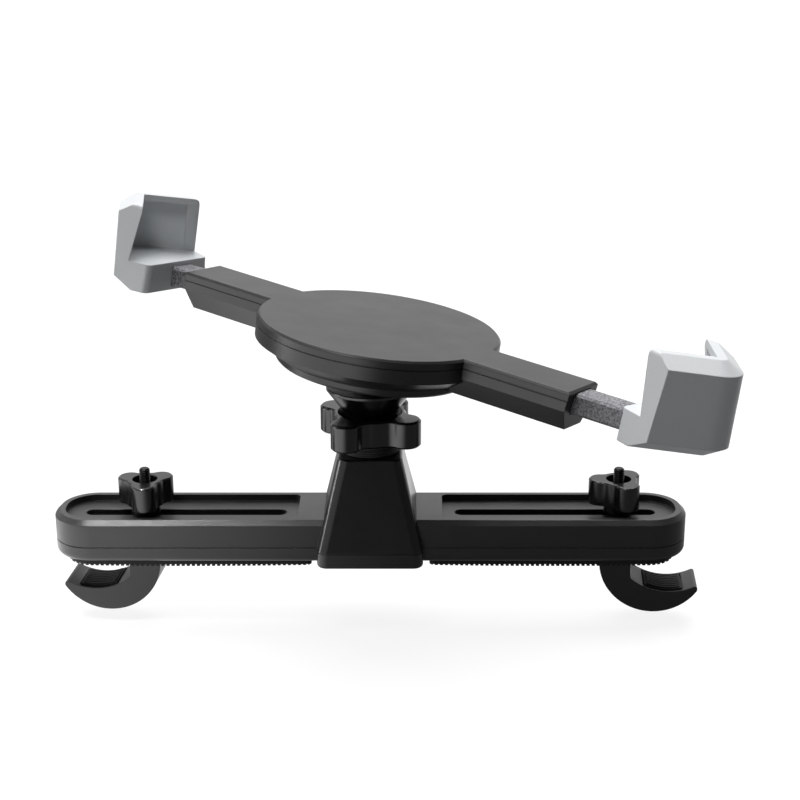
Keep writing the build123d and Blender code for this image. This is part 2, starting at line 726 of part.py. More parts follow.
# The two arms: sliding bar, corner clamp, clamp screw and friction leaf, half a turn apart
for half_turn, name, clamp_reach, clamp_turn in (
    (0, "near", near_clamp_reach, near_clamp_turn),
    (180, "far", far_clamp_reach, far_clamp_turn),
):
    arm_plane = turned(holder_plane, half_turn)
    arm_side = Plane(ball_centre, x_dir=arm_plane.x_dir, z_dir=-arm_plane.y_dir)
    corner = arm_plane.from_local_coords((clamp_reach, 0, 0))
    clamp_square = Plane(corner, x_dir=tablet_plane.x_dir, z_dir=tablet_plane.z_dir)
    clamp_plane = turned(clamp_square, half_turn + clamp_turn)
    along_arm = Axis(ball_centre, arm_plane.x_dir)
    front_end = (-clamp_leg - clamp_end_run, clamp_end_depth)
    side_end = (-clamp_end_depth, clamp_leg + clamp_end_run)
    slide_outer_end = clamp_reach - clamp_grip
    slide_inner_end = slide_outer_end - slide_length

    with BuildPart() as arm_bar:
        with BuildSketch(arm_plane.offset(slide_bottom)):
            with Locations((slide_inner_end, 0)):
                Rectangle(
                    slide_outer_end - slide_inner_end, slide_width, align=(Align.MIN, Align.CENTER)
                )
        extrude(amount=slide_height)
        chamfer(arm_bar.edges().filter_by(along_arm), slide_edge)
        with BuildSketch(arm_plane.offset(slide_bottom)):
            with Locations((slide_inner_end, 0)):
                Rectangle(slide_stop_length, slide_stop_width, align=(Align.MIN, Align.CENTER))
        extrude(amount=slide_height)
        with BuildSketch(arm_plane.offset(slide_bottom)):
            with Locations((slide_outer_end - arm_screw_inset, 0)):
                Circle(arm_screw_radius)
        extrude(amount=slide_height, mode=Mode.SUBTRACT)
    save(arm_bar, f"arm_bar_{name}")

    with BuildPart() as corner_clamp:
        with BuildSketch(clamp_plane.offset(clamp_bottom)) as outline:
            with BuildLine():
                Polyline(
                    (0, 0),
                    (-clamp_leg, 0),
                    front_end,
                    side_end,
                    (0, clamp_leg),
                    close=True,
                )
            make_face()
            fillet(outline.vertices().sort_by_distance((0, 0, 0))[0], clamp_corner)
        extrude(amount=clamp_height)
        for foot, facing in (
            (front_end, (-clamp_end_depth, -clamp_end_run)),
            (side_end, (clamp_end_run, clamp_end_depth)),
        ):
            split(bisect_by=drafted_end(clamp_plane.offset(clamp_bottom), foot, facing), keep=Keep.BOTTOM)
        inner_posts = corner_clamp.edges().filter_by(
            lambda edge: abs(edge.tangent_at(0.5).dot(clamp_plane.z_dir)) > 0.9
        )
        fillet(inner_posts.sort_by(along_arm)[:2], clamp_end_round)
        top_face = corner_clamp.faces().sort_by(holder_axis)[-1]
        top_edges = corner_clamp.edges().group_by(holder_axis, tol_digits=3)[-1].sort_by(along_arm)
        chamfer(top_edges[5:], clamp_crown_run, clamp_crown_height, reference=top_face)
        back_face = corner_clamp.faces().sort_by(holder_axis)[0]
        back_edges = corner_clamp.edges().group_by(holder_axis, tol_digits=3)[0].sort_by(along_arm)
        chamfer(back_edges[5:], clamp_back_run, clamp_back_height, reference=back_face)
        with BuildSketch(clamp_plane.offset(clamp_bottom + clamp_base)):
            with Locations((-clamp_wall, clamp_wall)):
                Rectangle(clamp_reach, clamp_reach, align=(Align.MAX, Align.MIN))
        jaw_height = clamp_height - clamp_base - clamp_lip_thickness
        extrude(amount=jaw_height, taper=math.degrees(math.atan(clamp_lip / jaw_height)), mode=Mode.SUBTRACT)
        with BuildSketch(clamp_plane.offset(clamp_bottom + clamp_base)):
            with Locations((-clamp_wall, clamp_wall)):
                Rectangle(clamp_pocket - clamp_wall, clamp_lip, align=(Align.MAX, Align.MIN))
                Rectangle(clamp_lip, clamp_pocket - clamp_wall, align=(Align.MAX, Align.MIN))
        extrude(amount=jaw_height, mode=Mode.SUBTRACT)
        with BuildSketch(clamp_plane.offset(clamp_bottom + clamp_height)):
            with Locations((-clamp_wall - clamp_lip, clamp_wall + clamp_lip)):
                Rectangle(clamp_reach, clamp_reach, align=(Align.MAX, Align.MIN))
        extrude(amount=-clamp_lip_thickness, mode=Mode.SUBTRACT)
        tips = corner_clamp.edges().group_by(holder_axis, tol_digits=3)[-1].filter_by(
            lambda edge: 0.2 < abs(edge.tangent_at(0.5).dot(clamp_plane.x_dir)) < 0.95
        )
        fillet(tips.filter_by(GeomType.LINE), clamp_tip_round)
        with BuildSketch(arm_plane.offset(slide_bottom)):
            with Locations((slide_outer_end, 0)):
                Rectangle(clamp_reach / 2, slide_width, align=(Align.MAX, Align.CENTER))
        extrude(amount=slide_height, mode=Mode.SUBTRACT)
        with BuildSketch(arm_plane.offset(clamp_bottom)):
            with Locations((slide_outer_end - arm_screw_inset, 0)):
                Circle(arm_screw_radius + fit_gap)
        extrude(amount=slide_bottom - clamp_bottom, mode=Mode.SUBTRACT)
        with BuildSketch(arm_plane.offset(clamp_bottom)):
            with Locations((slide_outer_end - arm_screw_inset, 0)):
                Circle(arm_screw_head_radius + fit_gap)
        extrude(amount=arm_screw_head_height, mode=Mode.SUBTRACT)
    save(corner_clamp, f"corner_clamp_{name}")

    with BuildPart() as arm_screw:
        with BuildSketch(arm_plane.offset(clamp_bottom + arm_screw_head_height)):
            with Locations((slide_outer_end - arm_screw_inset, 0)):
                Circle(arm_screw_head_radius)
        extrude(amount=fit_gap - arm_screw_head_height)
        with BuildSketch(arm_plane.offset(clamp_bottom + arm_screw_head_height)):
            with Locations((slide_outer_end - arm_screw_inset, 0)):
                Circle(arm_screw_radius)
        extrude(amount=arm_screw_length)
    save(arm_screw, f"arm_screw_{name}")

    with BuildPart() as friction_leaf:
        pocket_floor = slide_bottom - running_gap - leaf_pocket_depth
        crown = slide_bottom - running_gap
        with BuildSketch(arm_side):
            with BuildLine():
                low = ThreePointArc(
                    (leaf_position - leaf_length / 2, pocket_floor),
                    (leaf_position, crown - leaf_thickness),
                    (leaf_position + leaf_length / 2, pocket_floor),
                )
                high = ThreePointArc(
                    (leaf_position + leaf_length / 2, pocket_floor + leaf_thickness),
                    (leaf_position, crown),
                    (leaf_position - leaf_length / 2, pocket_floor + leaf_thickness),
                )
                Line(low @ 1, high @ 0)
                Line(high @ 1, low @ 0)
            make_face()
        extrude(amount=leaf_width / 2, both=True)
    save(friction_leaf, f"friction_leaf_{name}")

# The two hooks with their studs, washers, knobs and nuts
hook_top = -strip_proud - strip_crown - hook_top_gap
hook_outer_offset = hook_outer_radius - hook_stem_outside
knob_seat = channel_level + washer_thickness
knob_bottom = knob_seat + knob_foot_height
knob_top = knob_bottom + knob_height
knob_floor = knob_top - knob_bore_depth
for side, name, stud_x, knob_angle in (
    (-1, "left", left_stud, left_knob_angle),
    (1, "right", right_stud, right_knob_angle),
):
    turn = math.radians(hook_turn)
    outward = Vector(side * math.cos(turn), -side * math.sin(turn), 0)
    hook_side = Plane((stud_x, 0, 0), x_dir=outward, z_dir=outward.cross(Vector(0, 0, 1)))
    stud_axis = Plane((stud_x, 0, 0))

    with BuildPart() as hook:
        with BuildSketch(hook_side) as crescent:
            with BuildLine():
                outer_centre = (hook_outer_offset, -hook_outer_drop)
                inner_centre = (hook_inner_offset, hook_inner_rise)
                outer_start = 180 + math.degrees(math.asin((-hook_top - hook_outer_drop) / hook_outer_radius))
                outer_sweep = 360 + hook_tip_angle - outer_start
                outer = CenterArc(outer_centre, hook_outer_radius, outer_start, outer_sweep)
                tip = outer @ 1
                tip_angle = math.degrees(math.acos((tip.X - hook_inner_offset) / hook_inner_radius))
                root_angle = math.degrees(
                    math.acos((hook_stem_inside - hook_inner_offset) / hook_inner_radius)
                )
                inner = CenterArc(inner_centre, hook_inner_radius, -root_angle, root_angle - tip_angle)
                Line(outer @ 1, inner @ 1)
                Polyline(inner @ 0, (hook_stem_inside, hook_top), outer @ 0)
            make_face()
            root = crescent.vertices().sort_by_distance(inner @ 0)[0]
            fillet(root, hook_root_round)
            nose = crescent.vertices().sort_by_distance(outer @ 1)[:2]
            fillet(nose, hook_tip_round)
        extrude(amount=hook_depth / 2, both=True)
        with BuildSketch(hook_side):
            with BuildLine():
                gap_angle = math.degrees(hook_pad_gap / hook_inner_radius)
                bed = CenterArc(
                    inner_centre,
                    hook_inner_radius + hook_pad_seat,
                    hook_pad_start - gap_angle,
                    hook_pad_sweep + 2 * gap_angle,
                )
                lid = CenterArc(
                    inner_centre,
                    hook_inner_radius - hook_pad_seat,
                    hook_pad_start - gap_angle,
                    hook_pad_sweep + 2 * gap_angle,
                )
                Line(bed @ 0, lid @ 0)
                Line(bed @ 1, lid @ 1)
            make_face()
        extrude(amount=hook_pad_width / 2 + hook_pad_gap, both=True, mode=Mode.SUBTRACT)
        with BuildSketch(stud_axis.offset(hook_top)):
            Circle(stud_radius + running_gap)
        extrude(amount=-stud_head_drop, mode=Mode.SUBTRACT)
        with BuildSketch(stud_axis.offset(-stud_head_drop)):
            Circle(stud_head_radius + running_gap)
        extrude(amount=-hook_outer_radius, mode=Mode.SUBTRACT)
    save(hook, f"hook_{name}")

    with BuildPart() as hook_pad:
        with BuildSketch(hook_side) as pad_section:
            with BuildLine():
                bed = CenterArc(
                    inner_centre, hook_inner_radius + hook_pad_seat, hook_pad_start, hook_pad_sweep
                )
                lid = CenterArc(
                    inner_centre, hook_inner_radius - hook_pad_proud, hook_pad_start, hook_pad_sweep
                )
                Line(bed @ 0, lid @ 0)
                Line(bed @ 1, lid @ 1)
            make_face()
        extrude(amount=hook_pad_width / 2, both=True)
        rib_span = hook_pad_width - 2 * hook_pad_border - hook_pad_rib_width
        for rib in range(hook_pad_rib_count):
            offset_in = rib_span * (rib / (hook_pad_rib_count - 1) - 0.5)
            with BuildSketch(hook_side.offset(offset_in)):
                with BuildLine():
                    foot_line = CenterArc(
                        inner_centre, hook_inner_radius, hook_pad_start + 2, hook_pad_sweep - 4
                    )
                    crest = CenterArc(
                        inner_centre,
                        hook_inner_radius - hook_pad_proud - hook_pad_rib_height,
                        hook_pad_start + 2,
                        hook_pad_sweep - 4,
                    )
                    Line(foot_line @ 0, crest @ 0)
                    Line(foot_line @ 1, crest @ 1)
                make_face()
            extrude(amount=hook_pad_rib_width / 2, both=True)
    save(hook_pad, f"hook_pad_{name}")

    with BuildPart() as stud:
        with BuildSketch(stud_axis.offset(-stud_head_drop)):
            RegularPolygon(stud_head_radius, 6)
        extrude(amount=-stud_head_height)
        with BuildSketch(stud_axis.offset(-stud_head_drop)):
            Circle(stud_radius)
        extrude(amount=stud_head_drop + channel_level + stud_top_rise)
        chamfer(stud.edges().group_by(Axis.Z)[-1], stud_tip_bevel)
    save(stud, f"stud_{name}")

    with BuildPart() as washer:
        with BuildSketch(stud_axis.offset(channel_level)):
            Circle(washer_radius)
            Circle(stud_radius + running_gap, mode=Mode.SUBTRACT)
        extrude(amount=washer_thickness)
    save(washer, f"washer_{name}")

    with BuildPart() as knob:
        with BuildSketch(stud_axis.offset(knob_bottom)) as lobes:
            Circle(knob_hub_radius)
            with PolarLocations(knob_lobe_circle_radius, knob_lobe_count, knob_angle):
                Circle(knob_lobe_radius)
            fillet(lobes.vertices(), knob_valley)
        extrude(amount=knob_height)
        chamfer(knob.edges().group_by(Axis.Z)[-1], knob_bevel)
        with BuildSketch(stud_axis.offset(knob_bottom)):
            Circle(knob_foot_radius)
        extrude(amount=-knob_foot_height)
        with BuildSketch(stud_axis.offset(knob_top)):
            Circle(knob_bore_radius)
        extrude(amount=-knob_bore_depth, mode=Mode.SUBTRACT)
        with BuildSketch(stud_axis.offset(knob_floor)):
            RegularPolygon(hex_radius, 6, major_radius=False)
        extrude(amount=-hex_seat, mode=Mode.SUBTRACT)
        with BuildSketch(stud_axis.offset(knob_floor)):
            Circle(stud_radius + running_gap)
        extrude(amount=knob_seat - knob_floor, mode=Mode.SUBTRACT)
    save(knob, f"knob_{name}")

    with BuildPart() as knob_nut:
        with BuildSketch(stud_axis.offset(knob_floor - hex_seat)):
            RegularPolygon(hex_radius, 6, major_radius=False)
            Circle(stud_radius + thread_gap, mode=Mode.SUBTRACT)
        extrude(amount=hex_height)
    save(knob_nut, f"knob_nut_{name}")
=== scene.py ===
import json
import math

import bpy
import numpy as np
from bpy.props import FloatProperty, FloatVectorProperty, PointerProperty
from bpy.types import Operator, Panel, PropertyGroup
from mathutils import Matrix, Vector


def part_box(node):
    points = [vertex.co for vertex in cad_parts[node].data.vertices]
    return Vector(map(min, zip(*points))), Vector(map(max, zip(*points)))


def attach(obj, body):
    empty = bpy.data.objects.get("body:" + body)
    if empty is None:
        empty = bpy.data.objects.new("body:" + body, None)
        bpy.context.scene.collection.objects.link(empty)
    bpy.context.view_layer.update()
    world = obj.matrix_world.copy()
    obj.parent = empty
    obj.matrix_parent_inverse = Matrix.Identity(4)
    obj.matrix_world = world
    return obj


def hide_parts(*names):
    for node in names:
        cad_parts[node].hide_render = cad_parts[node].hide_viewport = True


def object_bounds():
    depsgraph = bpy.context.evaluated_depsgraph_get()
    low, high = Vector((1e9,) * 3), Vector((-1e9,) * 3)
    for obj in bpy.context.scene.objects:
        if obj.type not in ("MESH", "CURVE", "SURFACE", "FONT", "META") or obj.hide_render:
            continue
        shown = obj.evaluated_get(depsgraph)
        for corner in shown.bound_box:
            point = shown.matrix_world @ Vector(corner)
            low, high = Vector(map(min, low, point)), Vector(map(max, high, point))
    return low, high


bl_info = {
    "name": "Headrest Tablet Mount",
    "version": (1, 0, 0),
    "blender": (4, 5, 0),
    "location": "View3D > Sidebar > Mount",
    "description": "Finishes, threads and screws for a headrest tablet mount, and a studio to see it in",
    "category": "Object",
}

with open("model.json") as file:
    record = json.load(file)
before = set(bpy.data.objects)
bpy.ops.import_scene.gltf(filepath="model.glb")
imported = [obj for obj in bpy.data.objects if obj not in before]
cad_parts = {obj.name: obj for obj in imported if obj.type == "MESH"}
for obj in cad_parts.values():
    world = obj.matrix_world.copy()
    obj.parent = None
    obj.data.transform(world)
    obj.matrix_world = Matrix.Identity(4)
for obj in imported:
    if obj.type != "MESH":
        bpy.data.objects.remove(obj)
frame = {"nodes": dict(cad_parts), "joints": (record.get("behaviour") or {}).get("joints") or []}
cad_box = [list(corner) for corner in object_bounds()]
nodes = frame["nodes"]
joints = {joint["name"]: joint for joint in frame["joints"]}

MM = 0.001

# sockets that share their names with others: Map Range's two spans, and a colour Mix's inputs and output
FROM_LOW, FROM_HIGH, TO_LOW, TO_HIGH = 1, 2, 3, 4
FACTOR, FIRST_COLOUR, SECOND_COLOUR = 0, 6, 7
MIXED = 2

# nearly all of a noise texture's values lie between these
NOISE_LOW, NOISE_HIGH = 0.3, 0.7

# the socket's neck: radius at the thread's root, bore of the threaded sleeve, and the gap left at its ends
NECK_ROOT = 10.05 * MM
NECK_BORE = 9.8 * MM
NECK_GAP = 0.05 * MM

# the studs: radius of the shank, rise of the thread's crest over it, radius of the tip, and the hexagon head
STUD_SHANK = 1.8 * MM
STUD_CREST = 0.14 * MM
STUD_TIP = 1.4 * MM
STUD_HEAD_HEIGHT = 2.8 * MM
STUD_HEAD_EDGE = 0.25 * MM

# directions along the bar and down
AHEAD, DOWN = (1, 0, 0), (0, 0, -1)

# radius and height of each kind of screw's head, then radius and length of its shank, in millimetres
SCREW_SIZES = {
    "shell": (2.5, 1.7, 1.25, 9.0),
    "case": (2.4, 1.5, 1.2, 12.4),
    "arm": (2.8, 0.8, 1.4, 7.0),
    "socket": (8.2, 2.6, 2.0, 8.0),
    "swivel": (3.4, 2.0, 1.6, 5.2),
}


def linear(code):
    """Turn an sRGB hex code into linear red, green, blue and alpha."""
    parts = [int(code[i : i + 2], 16) / 255 for i in (1, 3, 5)]
    return [c / 12.92 if c <= 0.04045 else ((c + 0.055) / 1.055) ** 2.4 for c in parts] + [1.0]


def colour_property(title, description, code):
    """A colour that a user may change, given as an sRGB hex code."""
    return FloatVectorProperty(
        name=title, description=description, default=linear(code), size=4, min=0, max=1, subtype="COLOR"
    )


def length_property(title, description, value):
    """A length that a user may change, given in millimetres."""
    return FloatProperty(
        name=title, description=description, default=value * MM, min=0, precision=5, unit="LENGTH"
    )


class MountColours(PropertyGroup):
    """Colours of the mount's materials"""

    case: colour_property("Bar and tower", "Black ABS of the bar and the tower", "#1c1c1d")
    holder: colour_property("Dish and arms", "Black ABS of the dish and the arm housings", "#1d1d1e")
    knob: colour_property("Knobs and socket", "Black nylon of the knobs, clamp nut and socket", "#101011")
    hook: colour_property("Hooks", "Black nylon of the hooks", "#1c1c1d")
    joint: colour_property("Ball joint", "Black acetal of the ball and its stem", "#141415")
    slide: colour_property("Sliding bars", "Grey glass-filled nylon of the sliding bars", "#6c6b6f")
    clamp: colour_property("Corner clamps", "Pale grey ABS of the corner clamps", "#dcdfe1")
    rubber: colour_property("Rubber", "Rubber of the ribbed strips and the hook pads", "#151515")
    steel: colour_property("Plated steel", "Zinc plate of the screws and the swivel washer", "#b9bbbd")
    spring: colour_property("Spring steel", "Bare steel of the friction leaves", "#9b9a98")
    blackened: colour_property("Blackened steel", "Black oxide on studs, washers and nuts", "#242424")


class MountSizes(PropertyGroup):
    """Sizes of the mount's threads, screws and surface grain"""

    edge: length_property("Edge softness", "Radius to which a moulded edge is worn", 0.35)
    grain: length_property("Mould grain", "Width of one grain of the spark-eroded mould skin", 0.55)
    stud_pitch: length_property("Stud pitch", "Pitch of the studs' thread", 0.7)
    stud_thread: length_property("Stud thread depth", "Height of the studs' thread", 0.32)
    neck_pitch: length_property("Neck pitch", "Pitch of the thread on the socket's neck", 1.5)
    neck_thread: length_property("Neck thread depth", "Height of the thread on the socket's neck", 0.5)
    screw_pitch: length_property("Screw pitch", "Pitch of the screws' thread", 1.0)
    screw_thread: length_property("Screw thread depth", "Height of the screws' thread", 0.3)
    cross_width: length_property("Cross width", "Width of the cross in a screw's head", 0.8)
    cross_depth: length_property("Cross depth", "Depth of the cross in a screw's head", 0.6)


def settings(context):
    """The colours and the sizes that the scene holds."""
    return context.scene.mount_colours, context.scene.mount_sizes


def add_node(tree, kind, sockets=None, **options):
    """Add a node with its options; a socket takes a plain value or a link from another node's output."""
    made = tree.nodes.new(kind)
    for key, value in options.items():
        setattr(made, key, value)
    for key, value in (sockets or {}).items():
        if isinstance(value, bpy.types.NodeSocket):
            tree.links.new(value, made.inputs[key])
        else:
            made.inputs[key].default_value = value
    return made


def start_material(name):
    """A new material with a principled shader; returns material, tree, shader and the place on the piece."""
    material = bpy.data.materials.new(name)
    material.use_nodes = True
    tree = material.node_tree
    tree.nodes.clear()
    shader = add_node(tree, "ShaderNodeBsdfPrincipled")
    add_node(tree, "ShaderNodeOutputMaterial", {"Surface": shader.outputs["BSDF"]})
    place = add_node(tree, "ShaderNodeTexCoord").outputs["Object"]
    return material, tree, shader, place


def moulded(name, colour, roughness, grain, relief, edge, mottle, shine=0.5):
    """A moulded plastic: grain of the mould in the normal, cloudy gloss, edges softened to a small radius."""
    cloud_width = 14 * MM
    material, tree, shader, place = start_material(name)
    skin = add_node(
        tree, "ShaderNodeTexNoise", {"Vector": place, "Scale": 1 / grain, "Detail": 3.0, "Roughness": 0.6}
    )
    cloud = add_node(
        tree,
        "ShaderNodeTexNoise",
        {"Vector": place, "Scale": 1 / cloud_width, "Detail": 2.0, "Roughness": 0.5},
    )
    gloss = add_node(
        tree,
        "ShaderNodeMapRange",
        {
            "Value": cloud.outputs["Fac"],
            FROM_LOW: NOISE_LOW,
            FROM_HIGH: NOISE_HIGH,
            TO_LOW: roughness - 0.03,
            TO_HIGH: roughness + 0.04,
        },
    )
    tone = add_node(
        tree,
        "ShaderNodeMapRange",
        {
            "Value": skin.outputs["Fac"],
            FROM_LOW: NOISE_LOW,
            FROM_HIGH: NOISE_HIGH,
            TO_LOW: 1 - mottle,
            TO_HIGH: 1 + mottle,
        },
    )
    tinted = add_node(
        tree,
        "ShaderNodeMix",
        {FACTOR: 1.0, FIRST_COLOUR: colour, SECOND_COLOUR: tone.outputs[0]},
        data_type="RGBA",
        blend_type="MULTIPLY",
    )
    soft = add_node(tree, "ShaderNodeBevel", {"Radius": edge}, samples=4)
    bump = add_node(
        tree,
        "ShaderNodeBump",
        {
            "Height": skin.outputs["Fac"],
            "Strength": 1.0,
            "Distance": relief,
            "Normal": soft.outputs["Normal"],
        },
    )
    tree.links.new(tinted.outputs[MIXED], shader.inputs["Base Color"])
    tree.links.new(gloss.outputs[0], shader.inputs["Roughness"])
    tree.links.new(bump.outputs["Normal"], shader.inputs["Normal"])
    shader.inputs["IOR"].default_value = 1.52
    shader.inputs["Specular IOR Level"].default_value = shine
    return material


def case_abs(colours, sizes):
    """Black ABS from a finely eroded mould: satin on the bar, polished on the tower and its foot.

    The gloss rises where the distance from the middle of the bar, plus the tower's taper times the height,
    falls under half the width of the tower's foot.
    """
    tower_taper, polish = 0.2, 0.55
    foot_inside, foot_outside = 19.1 * MM, 19.5 * MM
    # the real grit is near 0.1 mm; it is drawn as coarse as it needs to show
    material = moulded(
        "black_abs_satin",
        colours.case,
        roughness=0.36,
        grain=sizes.grain,
        relief=0.012 * MM,
        edge=sizes.edge,
        mottle=0.12,
    )
    tree = material.node_tree
    shader = next(node for node in tree.nodes if node.type == "BSDF_PRINCIPLED")
    satin = shader.inputs["Roughness"].links[0].from_socket
    place = add_node(tree, "ShaderNodeTexCoord").outputs["Object"]
    along = add_node(tree, "ShaderNodeSeparateXYZ", {"Vector": place})
    middle = add_node(tree, "ShaderNodeMath", {0: along.outputs["X"]}, operation="ABSOLUTE")
    width = add_node(
        tree,
        "ShaderNodeMath",
        {0: along.outputs["Z"], 1: tower_taper, 2: middle.outputs[0]},
        operation="MULTIPLY_ADD",
    )
    share = add_node(
        tree,
        "ShaderNodeMapRange",
        {
            "Value": width.outputs[0],
            FROM_LOW: foot_inside,
            FROM_HIGH: foot_outside,
            TO_LOW: polish,
            TO_HIGH: 1.0,
        },
    )
    gloss = add_node(tree, "ShaderNodeMath", {0: satin, 1: share.outputs[0]}, operation="MULTIPLY")
    tree.links.new(gloss.outputs[0], shader.inputs["Roughness"])
    return material


def holder_abs(colours, sizes):
    """Black ABS of the dish: a little smoother than the bar, with a soft sheen over the flared rim."""
    return moulded(
        "black_abs_smooth",
        colours.holder,
        roughness=0.33,
        grain=sizes.grain,
        relief=0.010 * MM,
        edge=sizes.edge,
        mottle=0.1,
        shine=0.38,
    )


def knob_nylon(colours, sizes):
    """Black nylon, nearly polished where fingers turn it: dark, with clear narrow highlights."""
    return moulded(
        "black_nylon_polished",
        colours.knob,
        roughness=0.22,
        grain=2 * sizes.grain,
        relief=0.010 * MM,
        edge=1.4 * sizes.edge,
        mottle=0.1,
    )


def neck_nylon(colours, sizes):
    """Black nylon of the neck's thread: dull with grease, so its turns hardly show in the nut's shade."""
    return moulded(
        "black_nylon_dull",
        colours.joint,
        roughness=0.65,
        grain=sizes.grain,
        relief=0.010 * MM,
        edge=sizes.edge,
        mottle=0.1,
    )


def hook_nylon(colours, sizes):
    """Black nylon of the hooks: even satin without clear reflections."""
    return moulded(
        "black_nylon_satin",
        colours.hook,
        roughness=0.42,
        grain=sizes.grain,
        relief=0.014 * MM,
        edge=sizes.edge,
        mottle=0.12,
        shine=0.42,
    )


def joint_acetal(colours, sizes):
    """Turned black acetal: smooth and slightly waxy."""
    return moulded(
        "black_acetal",
        colours.joint,
        roughness=0.3,
        grain=3 * sizes.grain,
        relief=0.004 * MM,
        edge=sizes.edge,
        mottle=0.05,
    )


def clamp_abs(colours, sizes):
    """Pale grey ABS: satin, almost white on its bevels under the light, with a very fine skin."""
    return moulded(
        "pale_grey_abs",
        colours.clamp,
        roughness=0.42,
        grain=sizes.grain,
        relief=0.004 * MM,
        edge=1.6 * sizes.edge,
        mottle=0.02,
    )


def slide_nylon(colours, sizes):
    """Glass-filled grey nylon with a coarse eroded skin: grainy, with light and dark specks."""
    speck_width, speck_relief = 0.7 * MM, 0.06 * MM
    dark = [c * 0.35 for c in colours.slide[:3]] + [1.0]
    light = [min(1.0, c * 2.3) for c in colours.slide[:3]] + [1.0]
    material, tree, shader, place = start_material("grey_glass_filled_nylon")
    speck = add_node(
        tree,
        "ShaderNodeTexNoise",
        {"Vector": place, "Scale": 1 / speck_width, "Detail": 4.0, "Roughness": 0.75},
    )
    tone = add_node(
        tree, "ShaderNodeMapRange", {"Value": speck.outputs["Fac"], FROM_LOW: 0.42, FROM_HIGH: 0.58}
    )
    mixed = add_node(
        tree,
        "ShaderNodeMix",
        {FACTOR: tone.outputs[0], FIRST_COLOUR: dark, SECOND_COLOUR: light},
        data_type="RGBA",
    )
    soft = add_node(tree, "ShaderNodeBevel", {"Radius": sizes.edge}, samples=4)
    bump = add_node(
        tree,
        "ShaderNodeBump",
        {
            "Height": speck.outputs["Fac"],
            "Strength": 1.0,
            "Distance": speck_relief,
            "Normal": soft.outputs["Normal"],
        },
    )
    tree.links.new(mixed.outputs[MIXED], shader.inputs["Base Color"])
    tree.links.new(bump.outputs["Normal"], shader.inputs["Normal"])
    shader.inputs["Roughness"].default_value = 0.5
    return material


def pad_rubber(colours):
    """Moulded black rubber: dull and dry, with a faint bloom that greys it in patches."""
    bloom_width, grit_width, grit_relief = 6 * MM, 0.4 * MM, 0.03 * MM
    greyed = [c * 2.2 for c in colours.rubber[:3]] + [1.0]
    material, tree, shader, place = start_material("black_rubber")
    bloom = add_node(
        tree,
        "ShaderNodeTexNoise",
        {"Vector": place, "Scale": 1 / bloom_width, "Detail": 5.0, "Roughness": 0.65},
    )
    grit = add_node(tree, "ShaderNodeTexNoise", {"Vector": place, "Scale": 1 / grit_width, "Detail": 2.0})
    shade = add_node(
        tree, "ShaderNodeMapRange", {"Value": bloom.outputs["Fac"], FROM_LOW: 0.35, FROM_HIGH: 0.7}
    )
    mixed = add_node(
        tree,
        "ShaderNodeMix",
        {FACTOR: shade.outputs[0], FIRST_COLOUR: colours.rubber, SECOND_COLOUR: greyed},
        data_type="RGBA",
    )
    bump = add_node(
        tree, "ShaderNodeBump", {"Height": grit.outputs["Fac"], "Strength": 1.0, "Distance": grit_relief}
    )
    tree.links.new(mixed.outputs[MIXED], shader.inputs["Base Color"])
    tree.links.new(bump.outputs["Normal"], shader.inputs["Normal"])
    shader.inputs["Roughness"].default_value = 0.72
    shader.inputs["Specular IOR Level"].default_value = 0.35
    return material


def metal(name, colour, roughness, spread, lay):
    """A bare or plated metal: fine tool marks of a given width vary its gloss and normal."""
    mark_relief = 0.004 * MM
    material, tree, shader, place = start_material(name)
    marks = add_node(
        tree, "ShaderNodeTexNoise", {"Vector": place, "Scale": 1 / lay, "Detail": 4.0, "Roughness": 0.7}
    )
    gloss = add_node(
        tree,
        "ShaderNodeMapRange",
        {
            "Value": marks.outputs["Fac"],
            FROM_LOW: NOISE_LOW,
            FROM_HIGH: NOISE_HIGH,
            TO_LOW: roughness - spread,
            TO_HIGH: roughness + spread,
        },
    )
    bump = add_node(
        tree, "ShaderNodeBump", {"Height": marks.outputs["Fac"], "Strength": 1.0, "Distance": mark_relief}
    )
    tree.links.new(gloss.outputs[0], shader.inputs["Roughness"])
    tree.links.new(bump.outputs["Normal"], shader.inputs["Normal"])
    shader.inputs["Base Color"].default_value = colour
    shader.inputs["Metallic"].default_value = 1.0
    return material


def plated_steel(colours):
    """Zinc-plated steel: pale, slightly cloudy, with soft bright reflections."""
    return metal("zinc_plated_steel", colours.steel, roughness=0.3, spread=0.08, lay=0.8 * MM)


def spring_steel(colours):
    """Cold-rolled spring steel: darker and smoother than the plated screws."""
    return metal("cold_rolled_spring_steel", colours.spring, roughness=0.24, spread=0.06, lay=0.5 * MM)


def black_oxide(colours):
    """Black oxide on steel: near black, with the metal's own highlight along the threads."""
    return metal("black_oxide_steel", colours.blackened, roughness=0.36, spread=0.08, lay=0.5 * MM)


def dress(material, *names):
    """Give CAD nodes a material in place of the one that they were packed with."""
    for name in names:
        slots = nodes[name].data.materials
        slots.clear()
        slots.append(material)


def thread_wave(turns, angle):
    """Height from 0 at the root to 1 at the crest of a V thread with small flats.

    It is a triangle wave of the height in turns less the angle in turns, stretched and cut at both ends.
    """
    root_flat, flank = 0.1, 0.75
    phase = np.mod(turns - angle / (2 * math.pi), 1.0)
    ridge = 1 - np.abs(2 * phase - 1)
    return np.clip((ridge - root_flat) / flank, 0, 1)


def ring_angles(columns):
    """Even angles once round a ring, as one row."""
    return np.linspace(0, 2 * math.pi, columns, endpoint=False)[None, :]


def ring_points(radius, height, angle):
    """Points of a turned form: rows of rings, each of the given radius and height at every angle."""
    across = radius * np.cos(angle)
    up = radius * np.sin(angle)
    return np.stack([across, up, np.broadcast_to(height, radius.shape)], -1)


